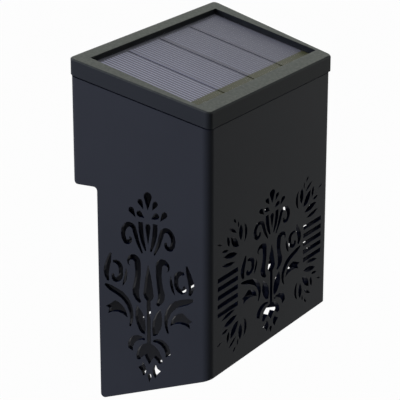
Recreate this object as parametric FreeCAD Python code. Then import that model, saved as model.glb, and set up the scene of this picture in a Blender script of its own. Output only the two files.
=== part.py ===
import FreeCAD, Part
import math
import os

# Solar fence light that hangs over the top edge of a fence panel.
# Millimetres. X runs to the right, Y runs into the fence and Z runs up.
# Y = 0 is the fence's face and Z = 0 is the height of the two fixing screws in it.

# ---------------------------------------------------------------- driving dimensions
# Body, seen in plan: a trapezoid that is widest over the fence.
WIDTH_BACK = 100.0
WIDTH_FRONT = 90.2
DEPTH = 55.2
OVERHANG = 10.3
CORNER_FRONT = 3.2
CORNER_BACK = 2.0
WALL = 1.8

# Heights, measured down from the front top edge of the lid.
SHELF_DROP = 33.9
FRONT_HEIGHT = 101.2
REAR_HEIGHT = 117.4
SHELF_ABOVE_SCREWS = 30.0
OVERHANG_ROUND = 2.6
STEP_ROUND = 1.5
HEEL_ROUND = 1.5

# Lid: a sloping frame with a sunk rectangular window.
LID_TILT = 13.4
LID_BAND = 5.93
LID_PROUD = 0.3
LID_CORNER = 2.1
LID_EDGE_BEVEL = 0.5
SEAM_GAP = 0.5
SEAM_DEPTH = 0.8
WINDOW_WIDTH = 86.5
WINDOW_LENGTH = 46.1
WINDOW_FROM_FRONT = 6.0
RECESS = 1.3
LEDGE_WIDTH = 3.0
LEDGE_THICK = 1.4
SKIRT_WALL = 1.6
SKIRT_DEPTH = 5.0

# Solar panel.
RESIN_THICK = 0.9
PANEL_BOARD_THICK = 1.2
BED_THICK = 0.4
CELL_COUNT = 4
CELL_THICK = 0.2
CELL_GAP = 0.7
CELL_MARGIN_SIDE = 1.0
CELL_MARGIN_FRONT = 1.5
CELL_MARGIN_BACK = 2.0
RIBBON_WIDTH = 1.6
RIBBON_THICK = 0.1

# Tray that closes the lid from below.
TRAY_ABOVE_SHELF = 10.0
TRAY_WALL = 1.6
TRAY_FLOOR = 2.0
SEAL_THICK = 0.8

# Four long screws clamp shell, tray and lid together.
CASE_SCREW_R = 1.5
CASE_SCREW_HEAD_R = 2.8
CASE_SCREW_HEAD = 1.8
CASE_SCREW_BITE = 8.0
CASE_BOSS_R = 3.2
CASE_BOSS_RISE = 4.0
CASE_SCREW_FROM_REAR_WALL = 5.2
SHELL_LEDGE_RIM = 2.0
SHELL_LEDGE_THICK = 2.5

# Battery, its bay and its door.
CELL_R = 7.1
CELL_LENGTH = 49.5
CELL_NUB_R = 2.7
CELL_NUB = 1.0
BAY_FROM_REAR_WALL = 11.2
BAY_WALL = 1.6
BAY_SIDE_GAP = 0.5
BAY_TOP_GAP = 0.4
CONTACT_THICK = 0.4
CONTACT_WIDTH = 9.0
CONTACT_TAIL = 3.0
SPRING_TIP_RISE = 3.15
SPRING_REACH = 3.1
DOOR_THICK = 1.8
DOOR_PAD_WALL = 1.8
DOOR_SCREW_OUT = 1.5
DOOR_END = 0.8
DOOR_GRIP_LENGTH = 14.0
DOOR_GRIP_WIDTH = 5.0
DOOR_SCREW_R = 0.95
DOOR_SCREW_HEAD_R = 1.8
DOOR_SCREW_HEAD = 1.0
DOOR_SCREW_LENGTH = 6.0
DOOR_BOSS_R = 2.6

# Control board with lamp and switch.
BOARD_LENGTH = 48.0
BOARD_GAP = 1.5
BOARD_THICK = 1.2
BOARD_STANDOFF = 4.0
BOARD_POST_X = 20.0
BOARD_POST_R = 2.4
BOARD_SCREW_R = 1.0
LAMP_R = 2.5
LAMP_TIP_R = 1.4
LAMP_LENGTH = 7.0
LAMP_FLANGE_R = 2.9
LAMP_FLANGE = 1.0
LAMP_LEG = 0.5
LAMP_LEG_PITCH = 2.54
SWITCH_X = -10.5
SWITCH_LENGTH = 8.6
SWITCH_WIDTH = 4.2
KNOB_LENGTH = 1.8
KNOB_WIDTH = 1.6
KNOB_TRAVEL = 2.0
KNOB_PROUD = 2.2
KNOB_DEPTH = 1.6
WIRE_R = 0.6
WIRE_SIDES = 6
ROD_SIDES = 16
CHORD_RISE = 0.12
WIRE_END = 1.8
WIRE_BEND = 1.6
WIRE_CLIMB = 3.0
PANEL_WIRE_BEND = 2.0
PANEL_WIRE_X = 3.5
PANEL_WIRE_TOP = 8.0
PANEL_WIRE_LOW = 5.0
CHIP_X = 9.0
CHIP_LENGTH = 5.0
CHIP_WIDTH = 4.0
CHIP_HIGH = 1.5
CHIP_LEGS = 4
CHIP_PITCH = 1.27
CHIP_LEG = 0.4
COIL_R = 1.6
COIL_LENGTH = 7.0
COIL_X = -12.0

# Fixing to the fence.
FENCE_SCREW_SPACING = 60.0
FENCE_HOLE_R = 2.1
FENCE_SINK_R = 4.0
REAR_SLOT_DROP = 94.4
REAR_SLOT_LENGTH = 45.0
REAR_SLOT_HIGH = 2.3

# Pattern cut through the front and side walls, drawn 39.4 by 74.8 and scaled to each wall.
PATTERN_WIDTH = 39.4
PATTERN_HEIGHT = 74.8
FRONT_PATTERN_DROP = 41.0
FRONT_PATTERN_ABOVE_FOOT = 2.4
SIDE_PATTERN_DROP = 32.4
SIDE_PATTERN_ABOVE_FOOT = 3.15
SIDE_PATTERN_FROM_FENCE = 0.45
SIDE_PATTERN_FROM_CORNER = 2.65
LOUVRE_COUNT = 5
LOUVRE_PITCH = 3.35
LOUVRE_HIGH = 1.8
LOUVRE_LENGTH = 14.4
LOUVRE_FROM_EDGE = 5.7
LOUVRE_TO_PATTERN = 1.9
LOUVRE_TOP_DROP = 64.4
SPRAY_REACH = 39.8
SPRAY_FROM_EDGE = 5.3
SPRAY_FOLD_RISE = 0.9

# Clearances.
FIT = 0.2
PRESS = 0.1
RUNNING = 0.05
CONTACT_GAP = 0.3

# ---------------------------------------------------------------- places worked out from them
FRONT_Y = OVERHANG - DEPTH
SHELF_Z = SHELF_ABOVE_SCREWS
RIM_Z = SHELF_Z + SHELF_DROP
FRONT_FOOT_Z = RIM_Z - FRONT_HEIGHT
REAR_FOOT_Z = RIM_Z - REAR_HEIGHT
TILT = math.radians(LID_TILT)
SIDE_SLOPE = (WIDTH_BACK - WIDTH_FRONT) / 2 / DEPTH
SIDE_ANGLE = math.atan(SIDE_SLOPE)
FOOT_SLOPE = math.atan2(FRONT_FOOT_Z - REAR_FOOT_Z, -FRONT_Y)
POCKET_DEPTH = RECESS + RESIN_THICK + PANEL_BOARD_THICK + BED_THICK
LID_UNDERSIDE = POCKET_DEPTH + LEDGE_THICK
SKIRT_INSET = WALL + FIT
TRAY_INSET = SKIRT_INSET + SKIRT_WALL + FIT
CASE_SCREW_IN = TRAY_WALL + FIT + CASE_BOSS_R
TRAY_Z = SHELF_Z + TRAY_ABOVE_SHELF
TRAY_TOP_Z = TRAY_Z + TRAY_FLOOR
CASE_BOSS_TOP = TRAY_TOP_Z + CASE_BOSS_RISE
BAY_Y = -WALL - BAY_FROM_REAR_WALL
BAY_HALF_LENGTH = (CELL_LENGTH + CELL_NUB + SPRING_REACH + 2 * CONTACT_THICK + 2 * CONTACT_GAP) / 2
BAY_HALF_WIDTH = CELL_R + BAY_SIDE_GAP
DOOR_TOP_Z = TRAY_Z + DOOR_THICK
DOOR_SCREW_X = BAY_HALF_LENGTH + BAY_WALL + DOOR_SCREW_OUT
DOOR_HALF_LENGTH = DOOR_SCREW_X + DOOR_SCREW_HEAD_R + DOOR_END
DOOR_HALF_WIDTH = BAY_HALF_WIDTH + BAY_WALL
CELL_Z = DOOR_TOP_Z + CONTACT_GAP + CELL_R
BAY_CEILING_Z = CELL_Z + CELL_R + BAY_TOP_GAP
BAY_ROOF_Z = BAY_CEILING_Z + BAY_WALL
BOARD_Z = TRAY_TOP_Z + BOARD_STANDOFF
BOARD_TOP_Z = BOARD_Z + BOARD_THICK
BOARD_FRONT = FRONT_Y + TRAY_INSET + TRAY_WALL + BOARD_GAP
BOARD_BACK = BAY_Y - DOOR_HALF_WIDTH - BOARD_GAP
BOARD_Y = (BOARD_FRONT + BOARD_BACK) / 2
LOUVRE_OUTER = WIDTH_FRONT / 2 - LOUVRE_FROM_EDGE
LOUVRE_INNER = LOUVRE_OUTER - LOUVRE_LENGTH
FRONT_PATTERN_WIDTH = 2 * (LOUVRE_INNER - LOUVRE_TO_PATTERN)
FRONT_PATTERN_HEIGHT = FRONT_HEIGHT - FRONT_PATTERN_ABOVE_FOOT - FRONT_PATTERN_DROP
SIDE_PATTERN_REAR = OVERHANG + WALL + SIDE_PATTERN_FROM_FENCE
SIDE_PATTERN_WIDTH = DEPTH - CORNER_FRONT - SIDE_PATTERN_FROM_CORNER - SIDE_PATTERN_REAR
SIDE_PATTERN_CENTRE = SIDE_PATTERN_REAR + SIDE_PATTERN_WIDTH / 2
SIDE_FOOT_DROP = REAR_HEIGHT - (SIDE_PATTERN_CENTRE - OVERHANG) * math.tan(FOOT_SLOPE)
SIDE_PATTERN_HEIGHT = SIDE_FOOT_DROP - SIDE_PATTERN_ABOVE_FOOT - SIDE_PATTERN_DROP
SPRAY_SHIFT = WIDTH_FRONT / 2 - SPRAY_FROM_EDGE - SPRAY_REACH
SPRAY_FOLD_DROP = LOUVRE_TOP_DROP + (LOUVRE_COUNT - 1) / 2 * LOUVRE_PITCH - SPRAY_FOLD_RISE
TALL = 300.0


# ---------------------------------------------------------------- helpers
def box(x0, x1, y0, y1, z0, z1):
    """A block between two opposite corners."""
    return Part.makeBox(x1 - x0, y1 - y0, z1 - z0, FreeCAD.Vector(x0, y0, z0))


def rod(radius, length, x, y, z):
    """An upright rod or bore with ROD_SIDES narrow flats, that stands on the given point."""
    ring = []
    for i in range(ROD_SIDES + 1):
        turn = 2 * math.pi * i / ROD_SIDES
        ring.append(FreeCAD.Vector(x + radius * math.cos(turn), y + radius * math.sin(turn), z))
    return Part.Face(Part.makePolygon(ring)).extrude(FreeCAD.Vector(0, 0, length))


def arc_chords(start, via, end, rise):
    """Points along the arc from start through via to end; no chord is off it by more than rise."""
    arc = Part.Arc(start, via, end).toShape()
    step = 2 * math.acos(1 - min(rise / arc.Curve.Radius, 1))
    count = max(2, math.ceil(arc.Length / arc.Curve.Radius / step))
    return arc.discretize(count + 1)


def rounded_face(corners, place, hidden=False):
    """A flat face from (a, b, radius) corners, each rounded by an arc, or by a few chords if hidden."""
    edges = []
    ends = []
    count = len(corners)
    for i in range(count):
        a, b, radius = corners[i]
        here = FreeCAD.Vector(a, b, 0)
        back = FreeCAD.Vector(corners[i - 1][0], corners[i - 1][1], 0) - here
        ahead = FreeCAD.Vector(corners[(i + 1) % count][0], corners[(i + 1) % count][1], 0) - here
        back.normalize()
        ahead.normalize()
        half = back.getAngle(ahead) / 2
        start = here + back * (radius / math.tan(half))
        stop = here + ahead * (radius / math.tan(half))
        middle = back + ahead
        middle.normalize()
        top = here + middle * (radius / math.sin(half) - radius)
        ends.append((place(start), place(top), place(stop), radius))
    for i in range(count):
        start, top, stop, radius = ends[i]
        if radius > 0 and hidden:
            edges += Part.makePolygon(arc_chords(start, top, stop, CHORD_RISE)).Edges
        elif radius > 0:
            edges.append(Part.Arc(start, top, stop).toShape())
        edges.append(Part.LineSegment(stop, ends[(i + 1) % count][0]).toShape())
    return Part.Face(Part.Wire(edges))


def flat(point):
    """Leaves a plan point in the XY plane."""
    return point


def half_width(y, inset):
    """Half the body's width at depth y, drawn in by inset square to its side."""
    return WIDTH_FRONT / 2 + SIDE_SLOPE * (y - FRONT_Y) - inset / math.cos(SIDE_ANGLE)


def column(inset, low, high, round_front, round_back):
    """The body's plan outline drawn in by inset, as an upright prism."""
    near = FRONT_Y + inset
    far = OVERHANG - inset
    round_front = max(round_front - inset, WALL / 4)
    round_back = max(round_back - inset, WALL / 4)
    corners = [
        (-half_width(near, inset), near, round_front),
        (half_width(near, inset), near, round_front),
        (half_width(far, inset), far, round_back),
        (-half_width(far, inset), far, round_back),
    ]
    prism = rounded_face(corners, flat, inset > 0).extrude(FreeCAD.Vector(0, 0, high - low))
    prism.translate(FreeCAD.Vector(0, 0, low))
    return prism


def body_column(inset, low, high):
    """A prism of the body's plan outline."""
    return column(inset, low, high, CORNER_FRONT, CORNER_BACK)


def on_deck(shape):
    """Carries a shape from the lid's own frame to its place.

    In that frame x is across, y runs up the slope from the lid's front edge and z = 0 is the rim.
    """
    turn = FreeCAD.Rotation(FreeCAD.Vector(1, 0, 0), LID_TILT)
    moved = shape.copy()
    moved.Placement = FreeCAD.Placement(FreeCAD.Vector(0, FRONT_Y, RIM_Z), turn)
    return moved


def above_deck(level):
    """All space above a plane parallel to the lid's rim."""
    return on_deck(box(-TALL, TALL, -TALL, TALL, level, TALL))


def below_deck(level):
    """All space below a plane parallel to the lid's rim."""
    return on_deck(box(-TALL, TALL, -TALL, TALL, -TALL, level))


def deck_box(half, from_front, to_back, low, high):
    """A block centred across the lid, square to its slope."""
    return on_deck(box(-half, half, from_front, to_back, low, high))


def deck_height(y, level):
    """Height of a plane parallel to the rim, above depth y."""
    return RIM_Z + (y - FRONT_Y) * math.tan(TILT) + level / math.cos(TILT)


def group(shapes):
    """Separate solids that share one node."""
    return Part.makeCompound(shapes)


def wire_tube(points, bend):
    """A round wire along straight runs joined by tangent arcs."""
    edges = []
    start = points[0]
    for before, corner, after in zip(points, points[1:], points[2:]):
        back = before - corner
        ahead = after - corner
        back.normalize()
        ahead.normalize()
        half = back.getAngle(ahead) / 2
        enter = corner + back * (bend / math.tan(half))
        leave = corner + ahead * (bend / math.tan(half))
        middle = back + ahead
        middle.normalize()
        top = corner + middle * (bend / math.sin(half) - bend)
        edges.append(Part.LineSegment(start, enter).toShape())
        edges.append(Part.Arc(enter, top, leave).toShape())
        start = leave
    edges.append(Part.LineSegment(start, points[-1]).toShape())
    path = Part.Wire(edges)
    corners = []
    for i in range(WIRE_SIDES):
        turn = 2 * math.pi * (i + 0.5) / WIRE_SIDES
        corners.append(points[0] + FreeCAD.Vector(math.cos(turn), math.sin(turn), 0) * WIRE_R)
    return path.makePipeShell([Part.makePolygon(corners + corners[:1])], True, False)


def case_screw_depths():
    """Depths of the front and the rear pair of case screws."""
    return [FRONT_Y + TRAY_INSET + CASE_SCREW_IN, -WALL - CASE_SCREW_FROM_REAR_WALL]


def case_screw_places():
    """Where the four case screws stand."""
    places = []
    for y in case_screw_depths():
        x = half_width(y, TRAY_INSET) - CASE_SCREW_IN
        places += [(-x, y), (x, y)]
    return places


# ---------------------------------------------------------------- shell
def side_profile(inset):
    """The body seen from the side: deep above the fence, shallower in front of it."""
    top = RIM_Z + TALL
    foot = -TALL
    corners = [
        (FRONT_Y + inset, foot, 0),
        (-inset, foot, 0),
        (-inset, SHELF_Z + inset, STEP_ROUND),
        (OVERHANG - inset, SHELF_Z + inset, max(OVERHANG_ROUND - inset, WALL / 4)),
        (OVERHANG - inset, top, 0),
        (FRONT_Y + inset, top, 0),
    ]
    face = rounded_face(corners, lambda p: FreeCAD.Vector(-TALL / 2, p.x, p.y))
    return face.extrude(FreeCAD.Vector(TALL, 0, 0))


def above_foot():
    """All space above the sloping lower edge of the body."""
    space = box(-TALL, TALL, -TALL, TALL, 0, TALL)
    space.rotate(FreeCAD.Vector(0, 0, 0), FreeCAD.Vector(1, 0, 0), -math.degrees(FOOT_SLOPE))
    space.translate(FreeCAD.Vector(0, 0, REAR_FOOT_Z))
    return space


def heel_cut():
    """The sharp lower rear corner, outside its round."""
    half = (math.pi / 2 - FOOT_SLOPE) / 2
    reach = HEEL_ROUND / math.tan(half)
    corner = FreeCAD.Vector(-TALL / 2, 0, REAR_FOOT_Z)
    up = FreeCAD.Vector(0, 0, reach)
    along = FreeCAD.Vector(0, -math.cos(FOOT_SLOPE), math.sin(FOOT_SLOPE)) * reach
    middle = FreeCAD.Vector(0, -math.cos(FOOT_SLOPE), 1 + math.sin(FOOT_SLOPE))
    middle.normalize()
    top = corner + middle * (HEEL_ROUND / math.sin(half) - HEEL_ROUND)
    edges = [
        Part.LineSegment(corner, corner + up).toShape(),
        Part.Arc(corner + up, top, corner + along).toShape(),
        Part.LineSegment(corner + along, corner).toShape(),
    ]
    return Part.Face(Part.Wire(edges)).extrude(FreeCAD.Vector(TALL, 0, 0))


def shell_blank():
    """The moulded body without holes: four walls and the step over the fence."""
    outside = body_column(0, -TALL / 2, TALL / 2).common(side_profile(0))
    inside = body_column(WALL, -TALL / 2, TALL / 2).common(side_profile(WALL))
    walls = outside.cut(inside)
    walls = walls.common(above_foot()).cut(heel_cut())
    return walls.common(below_deck(-LID_BAND))


def shell_ledges():
    """Four corner ledges that carry the tray and take the case screws."""
    low = TRAY_Z - SHELL_LEDGE_THICK
    room = body_column(WALL / 2, low, TRAY_Z)
    radius = CASE_SCREW_HEAD_R + SHELL_LEDGE_RIM
    ledges = []
    for x, y in case_screw_places():
        outwards = math.copysign(WIDTH_BACK, x)
        pad = rod(radius, SHELL_LEDGE_THICK, x, y, low)
        pad = pad.fuse(box(min(x, outwards), max(x, outwards), y - radius, y + radius, low, TRAY_Z))
        if y == case_screw_depths()[0]:
            pad = pad.fuse(box(x - radius, x + radius, y - DEPTH, y, low, TRAY_Z))
        ledges.append(pad.common(room))
    return ledges


def body_shell():
    """The shell with ledges, seam rebate and fixing holes."""
    shell = shell_blank().fuse(shell_ledges())
    rebate = body_column(-1, 0, TALL / 2).cut(body_column(SEAM_DEPTH, 0, TALL / 2))
    shell = shell.cut(rebate.common(above_deck(-LID_BAND - SEAM_GAP)))
    for x, y in case_screw_places():
        shell = shell.cut(rod(CASE_SCREW_R + FIT, TALL, x, y, 0))
    for side in (-1, 1):
        shell = shell.cut(fence_hole(side * FENCE_SCREW_SPACING / 2))
    shell = shell.cut(rear_slot()).removeSplitter()
    return shell.cut(front_pattern() + side_pattern())


def rear_slot():
    """The long slot through the rear wall, with round ends."""
    end = REAR_SLOT_LENGTH / 2 - REAR_SLOT_HIGH / 2
    level = RIM_Z - REAR_SLOT_DROP
    half = REAR_SLOT_HIGH / 2
    axis = FreeCAD.Vector(0, 1, 0)
    slot = box(-end, end, -2 * WALL, WALL, level - half, level + half)
    for x in (-end, end):
        slot = slot.fuse(Part.makeCylinder(half, 3 * WALL, FreeCAD.Vector(x, -2 * WALL, level), axis))
    return slot


def fence_hole(x):
    """A countersunk hole through the rear wall."""
    axis = FreeCAD.Vector(0, 1, 0)
    hole = Part.makeCylinder(FENCE_HOLE_R, 3 * WALL, FreeCAD.Vector(x, -2 * WALL, 0), axis)
    sink = Part.makeCone(FENCE_SINK_R, FENCE_HOLE_R, WALL / 2, FreeCAD.Vector(x, -WALL, 0), axis)
    return hole.fuse(sink)


# ---------------------------------------------------------------- pattern cut through the walls
def arc_face(points, place):
    """A closed face from points; a point marked True is where the arc before it passes."""
    corners = [FreeCAD.Vector(p[0], p[1], 0) for p in points]
    outline = [corners[0]]
    via = None
    for i in range(1, len(points) + 1):
        point = corners[i % len(points)]
        if i < len(points) and len(points[i]) == 3:
            via = point
        elif via is None:
            outline.append(point)
        else:
            outline += arc_chords(outline[-1], via, point, CHORD_RISE)[1:]
            via = None
    return Part.Face(Part.makePolygon([place(p.x, p.y) for p in outline]))


def drop_face(head, tip, radius, place):
    """A teardrop: a round head that runs straight to a pointed tip."""
    along = FreeCAD.Vector(tip[0] - head[0], tip[1] - head[1], 0)
    turn = math.acos(radius / along.Length)
    start = math.atan2(along.y, along.x)
    rim = []
    for angle in (start + turn, start + math.pi, start - turn):
        rim.append((head[0] + radius * math.cos(angle), head[1] + radius * math.sin(angle)))
    return arc_face([rim[0], rim[1] + (True,), rim[2], tip], place)


def leaf_face(start, end, bulge_left, bulge_right, place):
    """Two arcs between two points; each bulge is measured out from the chord."""
    across = FreeCAD.Vector(start[1] - end[1], end[0] - start[0], 0)
    across.normalize()
    middle = ((start[0] + end[0]) / 2, (start[1] + end[1]) / 2)
    left = (middle[0] + across.x * bulge_left, middle[1] + across.y * bulge_left, True)
    right = (middle[0] - across.x * bulge_right, middle[1] - across.y * bulge_right, True)
    return arc_face([start, left, end, right], place)


def ribbon_face(spine, widths, place):
    """A flowing stroke along an odd number of points, with a half width at each of them.

    Each side is a chain of arcs, and every other point is where an arc begins.
    """
    left = []
    right = []
    for i, (x, y) in enumerate(spine):
        ahead = spine[min(i + 1, len(spine) - 1)]
        behind = spine[max(i - 1, 0)]
        across = FreeCAD.Vector(behind[1] - ahead[1], ahead[0] - behind[0], 0)
        across.normalize()
        passed = (True,) if i % 2 else ()
        left.append((x + across.x * widths[i], y + across.y * widths[i]) + passed)
        right.append((x - across.x * widths[i], y - across.y * widths[i]) + passed)
    return arc_face(left + right[::-1], place)


def damask_centre(place):
    """The pattern's shapes on its centre line, drawn from its top in its own units."""
    spear = [
        (0, 28.0),
        (1.5, 34.5, True), (2.1, 38.6),
        (1.9, 41.0, True), (0.8, 42.2),
        (0.8, 59.0),
        (4.1, 61.0, True), (5.7, 65.4),
        (4.8, 66.4, True), (3.6, 65.4),
        (2.0, 64.2),
        (1.3, 65.4, True), (0, 67.4),
        (-1.3, 65.4, True), (-2.0, 64.2),
        (-3.6, 65.4),
        (-4.8, 66.4, True), (-5.7, 65.4),
        (-4.1, 61.0, True), (-0.8, 59.0),
        (-0.8, 42.2),
        (-1.9, 41.0, True), (-2.1, 38.6),
        (-1.5, 34.5, True),
    ]
    return [
        drop_face((0, 1.9), (0, 7.2), 1.75, place),
        drop_face((0, 13.4), (0, 20.4), 1.15, place),
        drop_face((0, 72.0), (0, 74.8), 0.85, place),
        arc_face(spear, place),
    ]


def damask_half(place):
    """The pattern's shapes on one side of its centre line."""
    bell = [
        (9.4, 50.4),
        (10.9, 46.6, True), (14.8, 44.4),
        (16.7, 45.9, True), (19.0, 47.3),
        (17.5, 48.0),
        (18.0, 50.1),
        (13.9, 48.8, True),
    ]
    stem_leaf = [
        (5.0, 44.7),
        (5.9, 49.6, True), (4.4, 54.0),
        (3.2, 55.4, True), (1.8, 55.8),
        (1.9, 49.4, True),
    ]
    spray = [
        (2.7, 67.0),
        (3.5, 68.5, True), (5.0, 69.4),
        (3.6, 70.6, True), (2.7, 72.6),
        (1.4, 69.8, True),
    ]
    shoulder = [(8.4, 29.4), (6.6, 26.2), (4.6, 28.4), (4.5, 31.8), (5.2, 36.8), (5.5, 40.6), (3.7, 43.4)]
    crown_scroll = [
        (2.6, 24.0), (4.7, 19.3), (5.8, 15.6), (7.7, 13.6), (9.8, 14.5),
        (10.9, 17.6), (9.9, 20.4), (8.1, 20.2), (7.7, 18.3),
    ]
    curl = [(15.5, 29.1), (13.5, 29.2), (12.1, 32.4), (12.7, 35.3), (14.3, 36.3), (15.6, 35.3), (15.4, 33.9)]
    edge_stroke = [(16.5, 26.0), (17.2, 28.4), (18.3, 31.8), (18.5, 34.8), (17.8, 37.1)]
    arm = [(19.3, 38.7), (17.1, 39.6), (14.4, 40.6), (11.1, 42.2), (8.6, 45.2), (7.5, 49.2), (8.4, 53.6)]
    return [
        drop_face((3.3, 4.3), (1.9, 6.9), 1.1, place),
        drop_face((3.7, 8.9), (1.5, 10.3), 1.25, place),
        drop_face((7.2, 7.9), (5.3, 10.6), 1.2, place),
        ribbon_face([(3.2, 12.0), (2.9, 16.6), (1.1, 22.8)], [0.95, 1.0, 0.3], place),
        ribbon_face(crown_scroll, [0.3, 0.8, 0.95, 0.95, 0.95, 0.95, 0.9, 0.8, 0.45], place),
        ribbon_face(shoulder, [0.7, 1.3, 1.4, 1.2, 1.35, 1.35, 0.5], place),
        leaf_face((9.7, 30.8), (11.5, 38.2), 1.2, 0.1, place),
        ribbon_face(curl, [0.5, 0.9, 0.9, 0.95, 0.9, 0.75, 0.4], place),
        ribbon_face(edge_stroke, [0.35, 0.9, 1.2, 1.0, 0.45], place),
        ribbon_face(arm, [0.5, 1.1, 1.25, 1.3, 1.1, 0.75, 0.35], place),
        arc_face(bell, place),
        arc_face(stem_leaf, place),
        ribbon_face([(1.8, 57.8), (5.7, 57.8), (8.3, 62.8)], [0.35, 1.15, 1.1], place),
        arc_face(spray, place),
    ]


def damask(place):
    """The whole pattern, the same on both sides of its centre line."""
    return damask_centre(place) + damask_half(place) + damask_half(lambda u, v: place(-u, v))


def corner_spray(place):
    """The small bunch of petals beside the pattern, drawn with its outermost tip at SPRAY_REACH."""
    petals = [
        ((28.3, 44.1), (26.5, 46.0), 0.55, 0.55),
        ((25.1, 45.8), (24.8, 48.4), 0.5, 0.5),
        ((31.6, 46.9), (26.2, 49.9), 0.8, 0.5),
        ((32.6, 49.4), (31.4, 53.7), 0.95, 0.95),
        ((30.3, 50.2), (24.5, 55.6), 1.2, 1.9),
        ((23.2, 47.4), (23.0, 53.9), 1.4, 1.4),
        ((20.7, 47.8), (20.6, 55.2), 2.3, -0.6),
        ((39.8, 50.4), (36.6, 51.5), 0.4, 0.4),
        ((36.6, 54.2), (31.9, 54.9), 0.6, 0.6),
        ((35.3, 56.6), (25.5, 58.2), 1.2, 1.1),
        ((36.8, 59.6), (27.0, 60.9), 0.6, 1.0),
    ]
    return [leaf_face(start, end, upper, lower, place) for start, end, upper, lower in petals]


def louvres(place):
    """The level slots between the two bunches of petals."""
    slots = []
    for i in range(LOUVRE_COUNT):
        top = LOUVRE_TOP_DROP + i * LOUVRE_PITCH - LOUVRE_HIGH / 2
        foot = top + LOUVRE_HIGH
        corners = [(LOUVRE_INNER, top), (LOUVRE_OUTER, top), (LOUVRE_OUTER, foot), (LOUVRE_INNER, foot)]
        slots.append(arc_face(corners, place))
    return slots


def front_pattern():
    """Cutters for the front wall."""
    wide = FRONT_PATTERN_WIDTH / PATTERN_WIDTH
    tall = FRONT_PATTERN_HEIGHT / PATTERN_HEIGHT

    def on_front(x, drop):
        return FreeCAD.Vector(x, FRONT_Y - WALL, RIM_Z - drop)

    faces = damask(lambda u, v: on_front(u * wide, FRONT_PATTERN_DROP + v * tall))
    for side in (-1, 1):
        faces += louvres(lambda u, v: on_front(side * u, v))
        faces += corner_spray(lambda u, v: on_front(side * (u + SPRAY_SHIFT), v))
        faces += corner_spray(lambda u, v: on_front(side * (u + SPRAY_SHIFT), 2 * SPRAY_FOLD_DROP - v))
    return [face.extrude(FreeCAD.Vector(0, 3 * WALL, 0)) for face in faces]


def side_pattern():
    """Cutters for the left and right walls."""
    wide = SIDE_PATTERN_WIDTH / PATTERN_WIDTH
    tall = SIDE_PATTERN_HEIGHT / PATTERN_HEIGHT
    along = FreeCAD.Vector(math.sin(SIDE_ANGLE), -math.cos(SIDE_ANGLE), 0)
    inwards = FreeCAD.Vector(math.cos(SIDE_ANGLE), math.sin(SIDE_ANGLE), 0)
    corner = FreeCAD.Vector(-WIDTH_BACK / 2, OVERHANG, RIM_Z) - inwards * WALL

    def on_side(u, v):
        run = along * (SIDE_PATTERN_CENTRE + u * wide)
        return corner + run - FreeCAD.Vector(0, 0, SIDE_PATTERN_DROP + v * tall)

    left = [face.extrude(inwards * 3 * WALL) for face in damask(on_side)]
    right = [cutter.mirror(FreeCAD.Vector(0, 0, 0), FreeCAD.Vector(1, 0, 0)) for cutter in left]
    return left + right


# ---------------------------------------------------------------- lid and panel
def lid_frame():
    """The sloping lid: rim, sunk window, ledge for the panel, skirt and screw bosses."""
    rim = column(-LID_PROUD, 0, TALL / 2, LID_CORNER - LID_PROUD, LID_CORNER - LID_PROUD)
    rim = rim.common(below_deck(0)).cut(below_deck(-LID_BAND))
    top_edges = [e for e in rim.Edges if on_plane(e)]
    rim = rim.makeChamfer(LID_EDGE_BEVEL, top_edges)
    hollow = body_column(SKIRT_INSET + SKIRT_WALL, 0, TALL / 2).common(below_deck(-LID_UNDERSIDE))
    rim = rim.cut(hollow)
    skirt = body_column(SKIRT_INSET, 0, TALL / 2).cut(body_column(SKIRT_INSET + SKIRT_WALL, 0, TALL / 2))
    skirt = skirt.common(below_deck(-LID_BAND + WALL / 4)).cut(below_deck(-LID_BAND - SKIRT_DEPTH))
    far = WINDOW_FROM_FRONT + WINDOW_LENGTH
    half = WINDOW_WIDTH / 2
    pocket = deck_box(half, WINDOW_FROM_FRONT, far, -POCKET_DEPTH, TALL)
    opening = deck_box(half - LEDGE_WIDTH, WINDOW_FROM_FRONT + LEDGE_WIDTH, far - LEDGE_WIDTH, -TALL, TALL)
    lid = rim.fuse(skirt).cut(pocket).cut(opening)
    for x, y in case_screw_places():
        lid = lid.fuse(rod(CASE_BOSS_R, TALL, x, y, CASE_BOSS_TOP).common(below_deck(-POCKET_DEPTH)))
    for x, y in case_screw_places():
        lid = lid.cut(rod(CASE_SCREW_R, CASE_SCREW_BITE, x, y, CASE_BOSS_TOP))
    return lid.removeSplitter()


def on_plane(edge):
    """Whether an edge lies in the lid's rim plane."""
    normal = FreeCAD.Vector(0, -math.sin(TILT), math.cos(TILT))
    start = FreeCAD.Vector(0, FRONT_Y, RIM_Z)
    points = edge.discretize(3)
    return all(abs((p - start).dot(normal)) < 0.001 for p in points)


def panel_slab(top, thick, gap):
    """A plate that fills the lid's window, less a gap all round."""
    near = WINDOW_FROM_FRONT + gap
    far = WINDOW_FROM_FRONT + WINDOW_LENGTH - gap
    return deck_box(WINDOW_WIDTH / 2 - gap, near, far, -top - thick, -top)


def cell_spans():
    """Left and right edges of each solar cell."""
    first = -WINDOW_WIDTH / 2 + FIT + CELL_MARGIN_SIDE
    pitch = (-2 * first + CELL_GAP) / CELL_COUNT
    return [(first + i * pitch, first + (i + 1) * pitch - CELL_GAP) for i in range(CELL_COUNT)]


def panel_cells():
    """The dark strips of silicon, side by side."""
    top = -RECESS - RESIN_THICK + CELL_THICK
    near = WINDOW_FROM_FRONT + CELL_MARGIN_FRONT
    far = WINDOW_FROM_FRONT + WINDOW_LENGTH - CELL_MARGIN_BACK
    return [on_deck(box(a, b, near, far, top - CELL_THICK, top)) for a, b in cell_spans()]


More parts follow.
